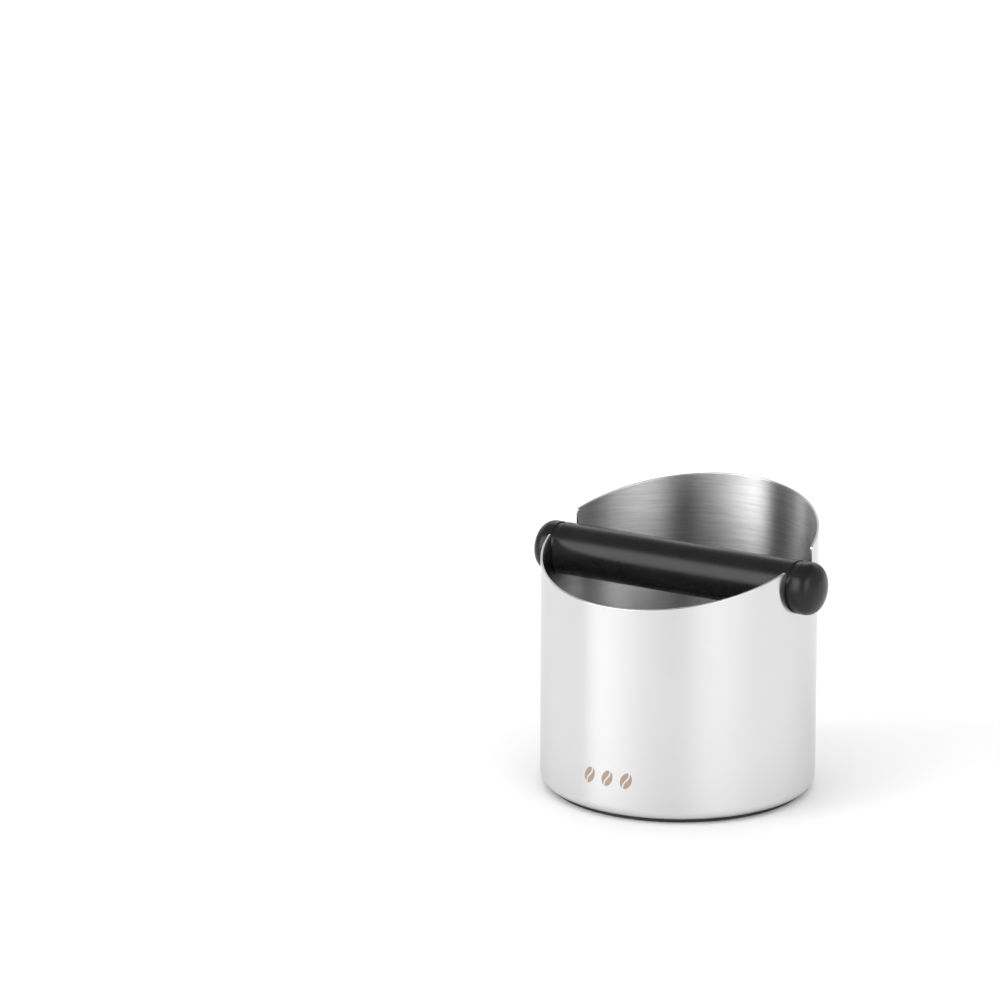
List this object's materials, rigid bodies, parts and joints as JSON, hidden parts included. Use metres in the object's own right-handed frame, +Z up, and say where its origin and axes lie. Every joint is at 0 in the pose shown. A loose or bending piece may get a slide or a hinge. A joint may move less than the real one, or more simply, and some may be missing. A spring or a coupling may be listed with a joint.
{
  "type": "espresso knock box",
  "caption": "Round open steel can with an obliquely cut rim, low at the front, and a removable black rubber-covered knock bar lying in two open slots in its wall.",
  "frame": {"origin": "centre of the foot ring's underside, on the surface that the box stands on", "axes": "+X along the knock bar, -Y towards the low front of the rim, +Z up"},
  "size_m": [0.1504, 0.128, 0.1336],
  "materials": {
    "can_steel": "mirror polished outside, satin brushed round the inside",
    "foot_rubber": "matt black",
    "tape": "clear adhesive film",
    "core_steel": "plain drawn steel",
    "bar_rubber": "fine satin black"
  },
  "bodies": {
    "root": {"body_shell": "can_steel", "foot_ring": "foot_rubber", "foot_tape": "tape"},
    "bar_core": {"bar_core": "core_steel", "knob_stud_left": "core_steel", "knob_stud_right": "core_steel"},
    "bar_grip": {"bar_sleeve": "bar_rubber", "knob_left": "bar_rubber", "knob_right": "bar_rubber"}
  },
  "joints": [
    {"name": "bar_lift", "type": "slide", "parent": "root", "child": "bar_core", "axis": [0, 0, 1], "range_m": [0, 0.06]},
    {"name": "bar_turn", "type": "hinge", "parent": "bar_core", "child": "bar_grip", "pos_m": [0, 0, 0.104], "axis": [1, 0, 0], "continuous": true}
  ]
}
